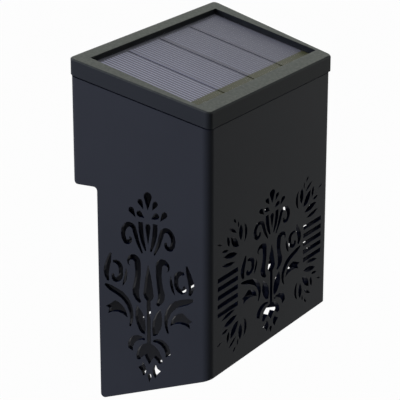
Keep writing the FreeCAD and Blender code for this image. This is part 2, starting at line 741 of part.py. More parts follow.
def panel_ribbons():
    """A flat tinned ribbon along the left edge of each cell."""
    low = -RECESS - RESIN_THICK + CELL_THICK
    near = WINDOW_FROM_FRONT + CELL_MARGIN_FRONT
    far = WINDOW_FROM_FRONT + WINDOW_LENGTH - CELL_MARGIN_BACK
    return [on_deck(box(a, a + RIBBON_WIDTH, near, far, low, low + RIBBON_THICK)) for a, b in cell_spans()]


def panel_resin():
    """The clear coat that is cast over the cells."""
    return panel_slab(RECESS, RESIN_THICK, FIT).cut(panel_cells() + panel_ribbons())


def panel_board():
    """The board that carries the cells."""
    return panel_slab(RECESS + RESIN_THICK, PANEL_BOARD_THICK, FIT)


def panel_bed():
    """The foam frame that the panel is stuck down on."""
    top = RECESS + RESIN_THICK + PANEL_BOARD_THICK
    return panel_slab(top, BED_THICK, FIT).cut(panel_slab(top, BED_THICK, LEDGE_WIDTH))


# ---------------------------------------------------------------- tray and screws
def lower_tray():
    """The tray below the lid, with bosses, battery bay, lamp hole and switch slot."""
    rim_level = -LID_UNDERSIDE - SEAL_THICK
    outside = body_column(TRAY_INSET, TRAY_Z, TALL / 2)
    inside = body_column(TRAY_INSET + TRAY_WALL, TRAY_TOP_Z, TALL / 2)
    tray = outside.cut(inside).common(below_deck(rim_level))
    boss_height = CASE_BOSS_TOP - TRAY_Z
    tray = tray.fuse([rod(CASE_BOSS_R, boss_height, x, y, TRAY_Z) for x, y in case_screw_places()])
    tray = tray.fuse(bay_walls())
    for side in (-1, 1):
        tray = tray.fuse(rod(BOARD_POST_R, BOARD_Z - TRAY_Z, side * BOARD_POST_X, BOARD_Y, TRAY_Z))
        tray = tray.cut(rod(BOARD_SCREW_R, BOARD_STANDOFF, side * BOARD_POST_X, BOARD_Y, TRAY_TOP_Z))
        bore = 2 * DOOR_SCREW_LENGTH
        tray = tray.cut(rod(DOOR_SCREW_R + RUNNING, bore, side * DOOR_SCREW_X, BAY_Y, TRAY_Z))
    for x, y in case_screw_places():
        tray = tray.cut(rod(CASE_SCREW_R + FIT, TALL, x, y, 0))
    tray = tray.cut(bay_room()).cut(rod(LAMP_R + PRESS, TALL / 2, 0, BOARD_Y, 0))
    return tray.cut(knob_slot(TRAY_Z, TRAY_TOP_Z)).removeSplitter()


def bay_walls():
    """The battery bay's tub, and the thick pad round its door."""
    end = BAY_HALF_LENGTH + BAY_WALL
    side = BAY_HALF_WIDTH + BAY_WALL
    tub = box(-end, end, BAY_Y - side, BAY_Y + side, TRAY_Z, BAY_ROOF_Z)
    pad_end = DOOR_HALF_LENGTH + DOOR_PAD_WALL
    pad_side = DOOR_HALF_WIDTH + DOOR_PAD_WALL
    pad = box(-pad_end, pad_end, BAY_Y - pad_side, BAY_Y + pad_side, TRAY_Z, DOOR_TOP_Z + DOOR_PAD_WALL)
    height = DOOR_THICK + DOOR_SCREW_LENGTH + 2 * DOOR_PAD_WALL
    bosses = [rod(DOOR_BOSS_R, height, side * DOOR_SCREW_X, BAY_Y, TRAY_Z) for side in (-1, 1)]
    return [tub, pad] + bosses


def bay_room():
    """The hollow for the battery, the door's rebate and the slots for the contact tails."""
    end = BAY_HALF_LENGTH
    room = box(-end, end, BAY_Y - BAY_HALF_WIDTH, BAY_Y + BAY_HALF_WIDTH, 0, BAY_CEILING_Z)
    door_end = DOOR_HALF_LENGTH + FIT
    door_side = DOOR_HALF_WIDTH + FIT
    rebate = box(-door_end, door_end, BAY_Y - door_side, BAY_Y + door_side, 0, DOOR_TOP_Z)
    slots = [contact_tail(side, PRESS, 0, BAY_ROOF_Z + WALL) for side in (-1, 1)]
    return [room, rebate] + slots


def tray_seal():
    """A foam ring between the tray's rim and the lid."""
    top = -LID_UNDERSIDE
    ring = body_column(TRAY_INSET, 0, TALL / 2).cut(body_column(TRAY_INSET + TRAY_WALL, 0, TALL / 2))
    return ring.common(below_deck(top)).cut(below_deck(top - SEAL_THICK))


def case_screws():
    """Four pan-head screws, driven upwards from inside the open body."""
    seat = TRAY_Z - SHELL_LEDGE_THICK
    tip = CASE_BOSS_TOP + CASE_SCREW_BITE
    screws = []
    for x, y in case_screw_places():
        head = rod(CASE_SCREW_HEAD_R, CASE_SCREW_HEAD, x, y, seat - CASE_SCREW_HEAD)
        screws.append(head.fuse(rod(CASE_SCREW_R, tip - seat, x, y, seat)).removeSplitter())
    return screws


# ---------------------------------------------------------------- battery
def contact_tail(side, grow, low, high):
    """The narrow tail of a contact, at the bay's end wall."""
    outer = BAY_HALF_LENGTH
    x0 = side * (outer - CONTACT_THICK)
    x1 = side * outer
    half = CONTACT_TAIL / 2 + grow
    return box(min(x0, x1) - grow, max(x0, x1) + grow, BAY_Y - half, BAY_Y + half, low, high)


def contact_plate(side):
    """A sprung-steel contact plate with a tail through the bay's roof."""
    x0 = side * (BAY_HALF_LENGTH - CONTACT_THICK)
    x1 = side * BAY_HALF_LENGTH
    half = CONTACT_WIDTH / 2
    low = CELL_Z - half
    high = CELL_Z + half
    plate = box(min(x0, x1), max(x0, x1), BAY_Y - half, BAY_Y + half, low, high)
    return plate.fuse(contact_tail(side, 0, high, BAY_ROOF_Z + WALL)).removeSplitter()


def leaf_profile(offset):
    """Points down one side of the bent leaf spring, in X and Z."""
    root = -BAY_HALF_LENGTH
    reach = root + SPRING_REACH
    half = CONTACT_WIDTH / 2
    return [
        (root + offset, CELL_Z - half),
        (reach + offset, CELL_Z),
        (root + 2 * CONTACT_THICK + offset, CELL_Z + SPRING_TIP_RISE),
    ]


def battery_minus_contact():
    """The contact with a bent leaf that presses on the battery's flat end."""
    outer = leaf_profile(CONTACT_THICK)
    inner = leaf_profile(0)
    ring = [FreeCAD.Vector(x, BAY_Y - CONTACT_WIDTH / 4, z) for x, z in outer + inner[::-1]]
    leaf = Part.Face(Part.makePolygon(ring + ring[:1])).extrude(FreeCAD.Vector(0, CONTACT_WIDTH / 2, 0))
    return contact_plate(-1).fuse(leaf).removeSplitter()


def battery_cell():
    """One AA cell lying across the bay."""
    nub_end = BAY_HALF_LENGTH - CONTACT_THICK - CONTACT_GAP
    start = nub_end - CELL_NUB - CELL_LENGTH
    axis = FreeCAD.Vector(1, 0, 0)
    can = Part.makeCylinder(CELL_R, CELL_LENGTH, FreeCAD.Vector(start, BAY_Y, CELL_Z), axis)
    nub = Part.makeCylinder(CELL_NUB_R, CELL_NUB, FreeCAD.Vector(start + CELL_LENGTH, BAY_Y, CELL_Z), axis)
    return can.fuse(nub).removeSplitter()


def battery_door():
    """The flush door below the battery, with countersinks for its screws and a finger groove."""
    side = DOOR_HALF_WIDTH
    door = box(-DOOR_HALF_LENGTH, DOOR_HALF_LENGTH, BAY_Y - side, BAY_Y + side, TRAY_Z, DOOR_TOP_Z)
    for sign in (-1, 1):
        x = sign * DOOR_SCREW_X
        door = door.cut(rod(DOOR_SCREW_R + RUNNING, DOOR_THICK, x, BAY_Y, TRAY_Z))
        door = door.cut(rod(DOOR_SCREW_HEAD_R + FIT, DOOR_SCREW_HEAD + RUNNING, x, BAY_Y, TRAY_Z))
    half = DOOR_GRIP_LENGTH / 2
    wide = DOOR_GRIP_WIDTH / 2
    return door.cut(box(-half, half, BAY_Y - wide, BAY_Y + wide, TRAY_Z, TRAY_Z + DOOR_THICK / 2))


def battery_door_screws():
    """Two small screws that hold the door."""
    screws = []
    for sign in (-1, 1):
        head = rod(DOOR_SCREW_HEAD_R, DOOR_SCREW_HEAD, sign * DOOR_SCREW_X, BAY_Y, TRAY_Z)
        shank = rod(DOOR_SCREW_R, DOOR_SCREW_LENGTH, sign * DOOR_SCREW_X, BAY_Y, TRAY_Z + DOOR_SCREW_HEAD)
        screws.append(head.fuse(shank).removeSplitter())
    return screws


# ---------------------------------------------------------------- electronics
def control_board():
    """The board over the lamp, with holes for its screws and the lamp's legs."""
    half = BOARD_LENGTH / 2
    board = box(-half, half, BOARD_FRONT, BOARD_BACK, BOARD_Z, BOARD_TOP_Z)
    for side in (-1, 1):
        board = board.cut(rod(BOARD_SCREW_R + PRESS, BOARD_THICK, side * BOARD_POST_X, BOARD_Y, BOARD_Z))
    return board.cut(lamp_legs())


def board_screws():
    """Two screws down into the tray's posts."""
    head_r = 2 * BOARD_SCREW_R
    screws = []
    for side in (-1, 1):
        x = side * BOARD_POST_X
        head = rod(head_r, BOARD_SCREW_R, x, BOARD_Y, BOARD_TOP_Z)
        shank = rod(BOARD_SCREW_R, BOARD_THICK + BOARD_STANDOFF, x, BOARD_Y, TRAY_TOP_Z)
        screws.append(head.fuse(shank).removeSplitter())
    return screws


def lamp():
    """The lamp: a clear body with a bevelled end that looks down through the tray's floor."""
    tip = TRAY_TOP_Z - LAMP_LENGTH
    bevel = Part.makeCone(LAMP_TIP_R, LAMP_R, LAMP_R - LAMP_TIP_R, FreeCAD.Vector(0, BOARD_Y, tip))
    start = tip + LAMP_R - LAMP_TIP_R
    body = rod(LAMP_R, TRAY_TOP_Z - start, 0, BOARD_Y, start)
    flange = rod(LAMP_FLANGE_R, LAMP_FLANGE, 0, BOARD_Y, TRAY_TOP_Z)
    return body.fuse([flange, bevel]).removeSplitter()


def lamp_legs():
    """The lamp's two square legs, up through the board."""
    legs = []
    low = TRAY_TOP_Z + LAMP_FLANGE
    for side in (-1, 1):
        x = side * LAMP_LEG_PITCH / 2
        half = LAMP_LEG / 2
        legs.append(box(x - half, x + half, BOARD_Y - half, BOARD_Y + half, low, BOARD_TOP_Z + LAMP_LEG))
    return legs


def knob_slot(low, high):
    """The slot that the switch's knob slides in."""
    x0 = SWITCH_X - KNOB_TRAVEL / 2 - KNOB_LENGTH / 2 - FIT
    x1 = SWITCH_X + KNOB_TRAVEL / 2 + KNOB_LENGTH / 2 + FIT
    half = KNOB_WIDTH / 2 + FIT
    return box(x0, x1, BOARD_Y - half, BOARD_Y + half, low, high)


def switch_case():
    """The slide switch's steel case, soldered below the board."""
    half = SWITCH_LENGTH / 2
    wide = SWITCH_WIDTH / 2
    case = box(SWITCH_X - half, SWITCH_X + half, BOARD_Y - wide, BOARD_Y + wide, TRAY_TOP_Z + FIT, BOARD_Z)
    return case.cut(knob_slot(TRAY_TOP_Z, TRAY_TOP_Z + FIT + KNOB_DEPTH + FIT))


def switch_knob():
    """The knob, at the off end of its slot."""
    x = SWITCH_X - KNOB_TRAVEL / 2
    half = KNOB_LENGTH / 2
    wide = KNOB_WIDTH / 2
    top = TRAY_TOP_Z + FIT + KNOB_DEPTH
    return box(x - half, x + half, BOARD_Y - wide, BOARD_Y + wide, TRAY_Z - KNOB_PROUD, top)


def charge_chip():
    """The charging chip with four legs a side."""
    half = CHIP_LENGTH / 2
    wide = CHIP_WIDTH / 2
    bottom = BOARD_TOP_Z + CHIP_LEG / 2
    lid = BOARD_TOP_Z + CHIP_HIGH
    chip = box(CHIP_X - half, CHIP_X + half, BOARD_Y - wide, BOARD_Y + wide, bottom, lid)
    reach = wide + 2 * CHIP_LEG
    legs = []
    for i in range(CHIP_LEGS):
        x = CHIP_X + (i - (CHIP_LEGS - 1) / 2) * CHIP_PITCH
        left = x - CHIP_LEG / 2
        top = BOARD_TOP_Z + CHIP_LEG
        legs.append(box(left, left + CHIP_LEG, BOARD_Y - reach, BOARD_Y + reach, BOARD_TOP_Z, top))
    return chip.fuse(legs).removeSplitter()


def inductor():
    """The small axial coil that steps the voltage up, on two bent legs."""
    half = COIL_LENGTH / 2
    centre = BOARD_TOP_Z + COIL_R
    start = FreeCAD.Vector(COIL_X - half, BOARD_Y, centre)
    body = Part.makeCylinder(COIL_R, COIL_LENGTH, start, FreeCAD.Vector(1, 0, 0))
    leg = LAMP_LEG / 2
    reach = half + COIL_R
    legs = [box(COIL_X - reach, COIL_X + reach, BOARD_Y - leg, BOARD_Y + leg, centre - leg, centre + leg)]
    for side in (-1, 1):
        x = COIL_X + side * reach
        legs.append(box(x - leg, x + leg, BOARD_Y - leg, BOARD_Y + leg, BOARD_TOP_Z, centre + leg))
    return body.fuse(legs).removeSplitter()


def panel_wire(x):
    """A wire from the underside of the panel down to the board."""
    y0 = BAY_Y - BAY_HALF_WIDTH - BAY_WALL - 3 * WIRE_R
    y1 = BOARD_BACK - 2 * WIRE_END
    start = deck_height(y0, -POCKET_DEPTH + BED_THICK)
    points = [
        FreeCAD.Vector(x, y0, start),
        FreeCAD.Vector(x, y0, BOARD_TOP_Z + PANEL_WIRE_TOP),
        FreeCAD.Vector(x, y1, BOARD_TOP_Z + PANEL_WIRE_LOW),
        FreeCAD.Vector(x, y1, BOARD_TOP_Z),
    ]
    return wire_tube(points, PANEL_WIRE_BEND).common(below_deck(-POCKET_DEPTH + BED_THICK))


def battery_wire(side):
    """A wire from a contact's tail over the bay to the board."""
    x0 = side * (BAY_HALF_LENGTH - CONTACT_THICK / 2)
    x1 = side * (BOARD_LENGTH / 2 - WIRE_END)
    y1 = BOARD_FRONT + WIRE_END
    low = BAY_ROOF_Z + WALL
    points = [
        FreeCAD.Vector(x0, BAY_Y, low),
        FreeCAD.Vector(x0, BAY_Y, low + WIRE_CLIMB),
        FreeCAD.Vector(x1, y1, low),
        FreeCAD.Vector(x1, y1, BOARD_TOP_Z),
    ]
    return wire_tube(points, WIRE_BEND)


# ---------------------------------------------------------------- all the nodes
def nodes():
    """Every piece of the light by name."""
    return {
        "body_shell": body_shell(),
        "lid_frame": lid_frame(),
        "panel_bed": panel_bed(),
        "panel_board": panel_board(),
        "panel_cells": group(panel_cells()),
        "panel_ribbons": group(panel_ribbons()),
        "panel_resin": panel_resin(),
        "lower_tray": lower_tray(),
        "tray_seal": tray_seal(),
        "case_screws": group(case_screws()),
        "battery_cell": battery_cell(),
        "battery_plus_contact": contact_plate(1),
        "battery_minus_contact": battery_minus_contact(),
        "battery_door": battery_door(),
        "battery_door_screws": group(battery_door_screws()),
        "control_board": control_board(),
        "board_screws": group(board_screws()),
        "lamp": lamp(),
        "lamp_legs": group(lamp_legs()),
        "switch_case": switch_case(),
        "switch_knob": switch_knob(),
        "charge_chip": charge_chip(),
        "inductor": inductor(),
        "panel_wire_red": panel_wire(PANEL_WIRE_X),
        "panel_wire_black": panel_wire(-PANEL_WIRE_X),
        "battery_wire_red": battery_wire(1),
        "battery_wire_black": battery_wire(-1),
    }


def main():
    """Writes each piece to its own file."""
    os.makedirs("parts", exist_ok=True)
    for name, shape in nodes().items():
        state = "valid" if shape.isValid() else "NOT VALID"
        print(name, shape.ShapeType, len(shape.Solids), state, round(shape.Volume, 1))
        shape.exportStep("parts/" + name + ".step")


main()
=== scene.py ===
# %% [markdown]
# # A solar fence light
# The real object is a moulded charcoal box that hangs over the top of a fence. Its lid slopes to the front
# and carries a small solar panel, and its walls are cut through with a scrolled pattern. The solid shapes
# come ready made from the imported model, so this lesson gives them their finishes and adds the small parts
# that deserve a closer look: the cast resin, the screws, the lamp and the battery.

import math

import bmesh
import bpy
from mathutils import Matrix, Vector


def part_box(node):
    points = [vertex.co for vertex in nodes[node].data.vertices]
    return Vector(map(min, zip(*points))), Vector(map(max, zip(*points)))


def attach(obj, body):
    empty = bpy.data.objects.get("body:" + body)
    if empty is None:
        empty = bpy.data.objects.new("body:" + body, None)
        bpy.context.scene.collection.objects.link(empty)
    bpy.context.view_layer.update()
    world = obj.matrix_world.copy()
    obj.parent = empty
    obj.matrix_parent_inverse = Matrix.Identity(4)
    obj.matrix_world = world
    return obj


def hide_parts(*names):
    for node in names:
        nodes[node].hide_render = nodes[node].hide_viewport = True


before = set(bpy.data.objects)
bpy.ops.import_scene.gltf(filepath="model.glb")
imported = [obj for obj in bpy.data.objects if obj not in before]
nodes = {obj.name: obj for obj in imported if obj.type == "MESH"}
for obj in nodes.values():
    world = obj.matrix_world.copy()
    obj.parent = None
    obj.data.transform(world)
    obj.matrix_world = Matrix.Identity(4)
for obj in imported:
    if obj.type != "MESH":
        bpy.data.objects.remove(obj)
scene = bpy.context.scene
MM = 0.001
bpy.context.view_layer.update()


def in_mm(lengths):
    """Lengths in millimetres, rounded for printing."""
    return [round(length / MM, 1) for length in lengths]


# %% [markdown]
# ## The camera
# The picture was taken from the left and a little above, from far enough away that the edges hardly
# converge. A long lens at 0.7 m gives the same view. The camera looks along a direction worked out from its
# turn about the upright axis and its height above the horizon, which is easier to read than a table of
# angles.

# %% Place the camera
AIM = Vector((-6.29, -17.31, 15.40)) * MM
TURN = math.radians(-58.63)
RISE = math.radians(19.50)
DISTANCE = 700.3 * MM
FOCAL_LENGTH = 167.5
SENSOR_WIDTH = 36.0
NEAREST = 0.05
FARTHEST = 50.0
away = Vector((math.sin(TURN) * math.cos(RISE), -math.cos(TURN) * math.cos(RISE), math.sin(RISE)))
camera_data = bpy.data.cameras.new("camera")
camera_data.lens = FOCAL_LENGTH
camera_data.sensor_width = SENSOR_WIDTH
camera_data.clip_start = NEAREST
camera_data.clip_end = FARTHEST
camera = bpy.data.objects.new("camera", camera_data)
scene.collection.objects.link(camera)
camera.location = AIM + away * DISTANCE
camera.rotation_mode = "QUATERNION"
camera.rotation_quaternion = (-away).to_track_quat("-Z", "Y")
scene.camera = camera
scene.view_settings.view_transform = "Standard"
print("camera at", [round(v, 3) for v in camera.location])

# %% [markdown]
# ## Helpers for nodes
# A material is a tree of nodes, and most trees here are built from the same few steps: a sum with two
# values, a blend of two colours, a ramp from one value to another, a cloudy noise and a bump. Each helper
# adds one such step, feeds its sockets and gives back what comes out of it, so that a material reads like a
# recipe. All patterns use the object's own coordinates, so they stay on a piece that moves.


# %% Add a node
def feed(tree, socket, source):
    """Links a socket to another one, or gives it a number, or a colour as three numbers."""
    if isinstance(source, bpy.types.NodeSocket):
        tree.links.new(source, socket)
    else:
        socket.default_value = (*source, 1) if socket.type == "RGBA" else source


def add(tree, kind, sockets, **settings):
    """Adds a node, feeds its sockets by name or number, and gives back what comes out of it."""
    node = tree.nodes.new(kind)
    for name, value in settings.items():
        setattr(node, name, value)
    for name, source in sockets.items():
        if source is not None:
            feed(tree, node.inputs[name], source)
    return node.outputs


def maths(tree, operation, *values):
    """A sum with one, two or three values."""
    return add(tree, "ShaderNodeMath", dict(enumerate(values)), operation=operation)[0]


def blend(tree, factor, first, second):
    """The first colour where factor is nought, and the second where it is one."""
    return add(tree, "ShaderNodeMix", {"Factor": factor, "A": first, "B": second}, data_type="RGBA")["Result"]


def ramp(tree, value, start, stop, first=0.0, last=1.0):
    """Runs from first to last while a value runs from start to stop."""
    ends = {"From Min": start, "From Max": stop, "To Min": first, "To Max": last}
    return add(tree, "ShaderNodeMapRange", {"Value": value, **ends})["Result"]


# %% Add a pattern or a bump
BUMP_DEPTH = 0.05 * MM


def own_place(tree):
    """The coordinates of the object itself."""
    return add(tree, "ShaderNodeTexCoord", {})["Object"]


def noise(tree, scale, detail=2.0):
    """Cloudy values round a half."""
    sockets = {"Vector": own_place(tree), "Scale": scale, "Detail": detail}
    return add(tree, "ShaderNodeTexNoise", sockets)["Fac"]


def bump(tree, height, strength, normal=None):
    """A normal that rises and falls with a height."""
    sockets = {"Height": height, "Strength": strength, "Distance": BUMP_DEPTH, "Normal": normal}
    return add(tree, "ShaderNodeBump", sockets)["Normal"]


print("bumps are up to", round(BUMP_DEPTH / MM, 2), "mm deep")


# %% Start and end a material
def new_material(name):
    """A material with an empty node tree but for its output."""
    material = bpy.data.materials.new(name)
    material.use_nodes = True
    tree = material.node_tree
    tree.nodes.clear()
    output = tree.nodes.new("ShaderNodeOutputMaterial")
    return material, tree, output


def principled(tree, output, sockets):
    """Ends a material with the all-round shader."""
    shader = add(tree, "ShaderNodeBsdfPrincipled", sockets)[0]
    feed(tree, output.inputs["Surface"], shader)


def mixed(tree, output, factor, first, second):
    """Ends a tree with a mix of two shaders."""
    shader = add(tree, "ShaderNodeMixShader", {"Fac": factor, 1: first, 2: second})[0]
    feed(tree, output.inputs["Surface"], shader)


# %% [markdown]
# ## Floor and background
# A product picture has a plain white ground. Making the lamps stronger until the floor clips to white would
# also bleach the object, so the floor is given its white only for the rays that come straight from the
# camera, or through glass and off gloss. All other rays see a matt grey floor. The light hangs high on a
# fence, so the floor lies well below it, and there is room to look at the object from underneath.


# %% Tell direct rays from the others
def seen_directly(tree):
    """One for rays from the camera, off gloss and through glass, and nought for all others."""
    rays = add(tree, "ShaderNodeLightPath", {})
    glossy = maths(tree, "MAXIMUM", rays["Is Camera Ray"], rays["Is Glossy Ray"])
    return maths(tree, "MAXIMUM", glossy, rays["Is Transmission Ray"])


# %% Make the floor
FLOOR_DROP = 2.0
FLOOR_REACH = 12.0
floor_mesh = bmesh.new()
bmesh.ops.create_grid(floor_mesh, x_segments=1, y_segments=1, size=FLOOR_REACH)
bmesh.ops.translate(floor_mesh, verts=floor_mesh.verts, vec=(0, 0, -FLOOR_DROP))
floor_data = bpy.data.meshes.new("floor")
floor_mesh.to_mesh(floor_data)
floor_mesh.free()
floor = bpy.data.objects.new("floor", floor_data)
scene.collection.objects.link(floor)
print("floor", FLOOR_DROP, "m below the fixing screws")

# %% Paint the floor
WHITE = (1, 1, 1)
FLOOR_GREY = (0.50, 0.50, 0.50)
WHITE_SHARE = 0.98
floor_white, tree, output = new_material("floor_white")
matt = add(tree, "ShaderNodeBsdfDiffuse", {"Color": FLOOR_GREY})[0]
bright = add(tree, "ShaderNodeEmission", {"Color": WHITE})[0]
mixed(tree, output, maths(tree, "MULTIPLY", seen_directly(tree), WHITE_SHARE), matt, bright)
floor_data.materials.append(floor_white)
print("floor paint", floor_white.name)

# %% [markdown]
# ## Light
# The picture has cool light from the left and weaker, warmer light from the right, and the rounded corner
# between the two faces is darker than both. So one lamp stands to the left and a little behind the object,
# and one to the right and a little in front of it, where neither reaches the corner that points at the
# camera. A third lamp hangs over the lid, and a weak even sky fills the shadows.

# %% Sky
SKY_TINT = (0.96, 0.98, 1.0)
SKY_STRENGTH = 0.07
sky = bpy.data.worlds.new("sky")
scene.world = sky
sky.use_nodes = True
tree = sky.node_tree
tree.nodes.clear()
output = tree.nodes.new("ShaderNodeOutputWorld")
fill = add(tree, "ShaderNodeBackground", {"Color": SKY_TINT, "Strength": SKY_STRENGTH})[0]
seen = add(tree, "ShaderNodeBackground", {"Color": WHITE})[0]
mixed(tree, output, seen_directly(tree), fill, seen)
print("sky", sky.name, "with", len(tree.nodes), "nodes")


# %% Lamps
def soft_lamp(name, place, size, power, colour):
    """A square lamp that faces the object."""
    data = bpy.data.lights.new(name, "AREA")
    data.shape = "SQUARE"
    data.size = size
    data.energy = power
    data.color = colour
    lamp = bpy.data.objects.new(name, data)
    scene.collection.objects.link(lamp)
    lamp.location = place
    lamp.rotation_mode = "QUATERNION"
    lamp.rotation_quaternion = (AIM - lamp.location).to_track_quat("-Z", "Y")


soft_lamp("lamp_left", place=(-1.4, 0.75, 0.25), size=0.9, power=36, colour=(0.80, 0.82, 1.0))
soft_lamp("lamp_top", place=(0.3, 0.1, 1.5), size=1.2, power=15, colour=(0.96, 0.97, 1.0))
soft_lamp("lamp_right", place=(1.4, -0.9, 0.25), size=0.9, power=4.4, colour=(1.0, 1.0, 0.88))

# %% [markdown]
# ## Two shared effects
# A moulded plastic is never one flat colour: it has a fine spark-eroded grain, slow changes in gloss where
# the melt flowed, and a thin pale film on what faces up, which is real dust and, on the lid, mostly a
# painted sheen. Several plastics need these, so each effect is built once as a node group with named
# sockets, and each material uses it with its own values.


# %% Start a node group
def new_group(name, inputs, outputs):
    """An empty group with its named sockets: what it is given, with values, and what it gives back."""
    group = bpy.data.node_groups.new(name, "ShaderNodeTree")
    for label, value in inputs.items():
        kind = "Color" if isinstance(value, tuple) else "Float"
        socket = group.interface.new_socket(name=label, in_out="INPUT", socket_type="NodeSocket" + kind)
        socket.default_value = (*value, 1) if kind == "Color" else value
    for label, kind in outputs.items():
        group.interface.new_socket(name=label, in_out="OUTPUT", socket_type="NodeSocket" + kind)
    given = add(group, "NodeGroupInput", {})
    result = group.nodes.new("NodeGroupOutput").inputs
    return group, given, result


# %% Mould grain
MIDDLE = 0.5
GLOSS_DRIFT = 0.3
GREY = (0.05, 0.05, 0.05)
mould_grain, given, result = new_group(
    "mould_grain",
    {"Grain size": 2500.0, "Drift size": 35.0, "Drift depth": 0.2, "Roughness": 0.5, "Colour": GREY},
    {"Colour": "Color", "Roughness": "Float", "Height": "Float"},
)
slow = maths(mould_grain, "SUBTRACT", noise(mould_grain, given["Drift size"]), MIDDLE)
drift = maths(mould_grain, "MULTIPLY", slow, given["Drift depth"])
factor = maths(mould_grain, "ADD", drift, 1.0)
tint = add(mould_grain, "ShaderNodeVectorMath", {0: given["Colour"], "Scale": factor}, operation="SCALE")[0]
gloss = maths(mould_grain, "MULTIPLY_ADD", drift, GLOSS_DRIFT, given["Roughness"])
feed(mould_grain, result["Colour"], tint)
feed(mould_grain, result["Roughness"], gloss)
feed(mould_grain, result["Height"], noise(mould_grain, given["Grain size"], detail=3.0))
print("group", mould_grain.name, len(mould_grain.nodes), "nodes")

# %% Settled dust and painted sheen
BETWEEN_SPECKS = 0.4
IN_A_SPECK = 0.7
THINNEST_FILM = 0.7
BARE_SLOPE = 0.6
FULL_SLOPE = 0.95
# The film is strongest on faces that look up; on the lid it is mostly a painted sheen rather than dust.
dust_and_painted_sheen, given, result = new_group(
    "dust_and_painted_sheen", {"Speck size": 900.0, "Amount": 0.3}, {"Mask": "Float"},
)
specks = noise(dust_and_painted_sheen, given["Speck size"], detail=4.0)
film = ramp(dust_and_painted_sheen, specks, BETWEEN_SPECKS, IN_A_SPECK, THINNEST_FILM, 1.0)
normal = add(dust_and_painted_sheen, "ShaderNodeTexCoord", {})["Normal"]
upward = add(dust_and_painted_sheen, "ShaderNodeSeparateXYZ", {0: normal})["Z"]
level = ramp(dust_and_painted_sheen, upward, BARE_SLOPE, FULL_SLOPE)
mask = maths(dust_and_painted_sheen, "MULTIPLY", maths(dust_and_painted_sheen, "MULTIPLY", level, film), given["Amount"])
feed(dust_and_painted_sheen, result["Mask"], mask)
print("group", dust_and_painted_sheen.name, len(dust_and_painted_sheen.nodes), "nodes")

# %% [markdown]
# ## Plastics
# The body, the lid, the tray and the door are all charcoal mouldings, but not with the same gloss. The walls
# and the lid are nearly matt, so that they stay dark beside a white ground. The lid carries much more of the
# dust film, which there is mostly a painted sheen that makes its upper faces paler. One function makes them
# all, with a bump for the grain and a rounded look along the edges from the Bevel node, since a mould never
# gives a knife edge. The inside of the body looks almost black through the cut-outs, so painted shade darkens
# its colour where the walls shut out the light around a point.

# %% A moulded plastic
DUST_AND_SHEEN_COLOUR = (0.30, 0.32, 0.27)
# The colour and reach of the painted shade inside the body.
PAINTED_SHADE_COLOUR = (0.002, 0.004, 0.015)
PAINTED_SHADE_REACH = 130 * MM
SHUT_IN = 0.62
OPEN = 0.92


def moulded(name, colour, roughness, sheen, grain_size, grain_depth, dust_and_sheen, edge, painted_shade=False):
    """Plastic with grain, colour drift, a dusty film and painted sheen, soft edges, painted shade in
    recesses.
    """
    material, tree, output = new_material(name)
    sockets = {"Grain size": grain_size, "Colour": colour, "Roughness": roughness}
    grain = add(tree, "ShaderNodeGroup", sockets, node_tree=mould_grain)
    film = add(tree, "ShaderNodeGroup", {"Amount": dust_and_sheen}, node_tree=dust_and_painted_sheen)["Mask"]
    # The pale film: dust on most plastics, and on the lid mostly a painted sheen on the upper faces.
    surface = blend(tree, film, grain["Colour"], DUST_AND_SHEEN_COLOUR)
    # Painted shade: the colour turns near black where the walls shut out the light around a point.
    if painted_shade:
        walls = add(tree, "ShaderNodeAmbientOcclusion", {"Distance": PAINTED_SHADE_REACH}, samples=8)["AO"]
        surface = blend(tree, ramp(tree, walls, SHUT_IN, OPEN), PAINTED_SHADE_COLOUR, surface)
    soft = add(tree, "ShaderNodeBevel", {"Radius": edge}, samples=4)["Normal"]
    principled(tree, output, {
        "Base Color": surface, "Roughness": grain["Roughness"], "Specular IOR Level": sheen,
        "Normal": bump(tree, grain["Height"], grain_depth, soft),
    })
    return material


def dress(name, material):
    """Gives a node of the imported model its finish."""
    data = nodes[name].data
    data.materials.clear()
    data.materials.append(material)


# %% Dress the mouldings
dress("body_shell", moulded(
    "shell_plastic", (0.021, 0.023, 0.027), roughness=0.45, sheen=0.04, grain_size=2600, grain_depth=0.3,
    dust_and_sheen=0.05, edge=0.3 * MM, painted_shade=True,
))
# The lid's thick film is mostly a painted sheen that makes its upper faces paler.
dress("lid_frame", moulded(
    "lid_plastic", (0.018, 0.020, 0.022), roughness=0.45, sheen=0.03, grain_size=2200, grain_depth=0.35,
    dust_and_sheen=0.42, edge=0.5 * MM,
))
dress("lower_tray", moulded(
    "tray_plastic", (0.030, 0.030, 0.032), roughness=0.6, sheen=0.3, grain_size=2600, grain_depth=0.35,
    dust_and_sheen=0.05, edge=0.2 * MM,
))
dress("battery_door", moulded(
    "door_plastic", (0.042, 0.042, 0.045), roughness=0.5, sheen=0.35, grain_size=2600, grain_depth=0.35,
    dust_and_sheen=0.0, edge=0.2 * MM,
))
dress("switch_knob", moulded(
    "knob_plastic", (0.60, 0.59, 0.55), roughness=0.4, sheen=0.5, grain_size=3000, grain_depth=0.15,
    dust_and_sheen=0.0, edge=0.2 * MM,
))
mouldings = ("body_shell", "lid_frame", "lower_tray", "battery_door", "switch_knob")
print("plastics", [nodes[name].data.materials[0].name for name in mouldings])

# %% [markdown]
# ## The solar cells
# Each cell is a strip of blue-grey silicon with fine printed fingers, which gather the current, and a ribbon
# on its left edge. The fingers run down the slope, so a zigzag of one coordinate across the lid draws them
# all. The lid is tilted, but the fingers only depend on the distance across, which the tilt leaves alone.
# Their silver is a painted glint, brightest on the left and fading to the right. A little before the front of
# the panel the colour turns to the olive of the board, and that edge is a step along the slope.

# %% Measure the lid
TILT = math.radians(13.4)
slope = Matrix.Rotation(TILT, 3, "X")


